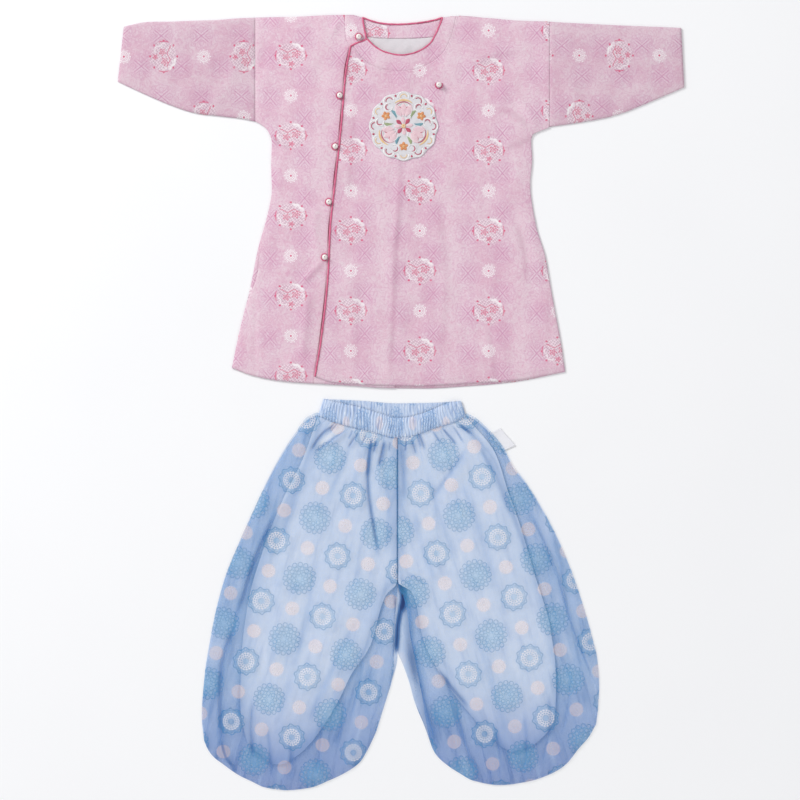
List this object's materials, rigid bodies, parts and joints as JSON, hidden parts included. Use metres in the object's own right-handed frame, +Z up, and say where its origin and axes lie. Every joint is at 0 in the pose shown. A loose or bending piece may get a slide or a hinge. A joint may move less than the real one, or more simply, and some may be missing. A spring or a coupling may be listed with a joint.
{
  "type": "child's hanfu set, round-collar top and lantern trousers",
  "caption": "Child's hanfu laid flat: a slant-closing round-collar top with pearl buttons above thin lined lantern trousers with an elastic waist.",
  "frame": {"origin": "middle of the bounding box at the surface that the clothes lie on", "axes": "+X towards the wearer's left, +Y from the trousers' feet to the top's shoulders, +Z up off the surface"},
  "size_m": [0.9056, 1.2402, 0.0144],
  "materials": {
    "pink_cloth": "printed soft cotton, matt",
    "piping": "satin cord, rose",
    "pearl": "pearly gloss",
    "applique": "embroidered thread",
    "white_lining": "plain white lining, matt",
    "sheer_blue": "thin printed chiffon",
    "band_blue": "gathered chiffon over elastic",
    "tag": "blank white tape"
  },
  "bodies": {
    "root": {"top_back": "pink_cloth", "top_front_left": "pink_cloth", "top_front_right": "pink_cloth", "sleeve_left": "pink_cloth", "sleeve_right": "pink_cloth", "collar_front": "pink_cloth", "collar_shoulder": "pink_cloth", "back_facing": "pink_cloth", "piping_neck_front": "piping", "piping_neck_shoulder": "piping", "piping_neck_back": "piping", "piping_placket": "piping", "loop_1": "piping", "loop_2": "piping", "loop_3": "piping", "loop_4": "piping", "loop_5": "piping", "loop_chest": "piping", "pearl_1": "pearl", "pearl_2": "pearl", "pearl_3": "pearl", "pearl_4": "pearl", "pearl_5": "pearl", "pearl_chest": "pearl", "medallion": "applique", "back_lining": "white_lining", "leg_lining_left": "white_lining", "leg_lining_right": "white_lining", "leg_front_left": "sheer_blue", "leg_front_right": "sheer_blue", "leg_back_left": "sheer_blue", "leg_back_right": "sheer_blue", "waistband": "band_blue", "tag": "tag"}
  },
  "joints": []
}
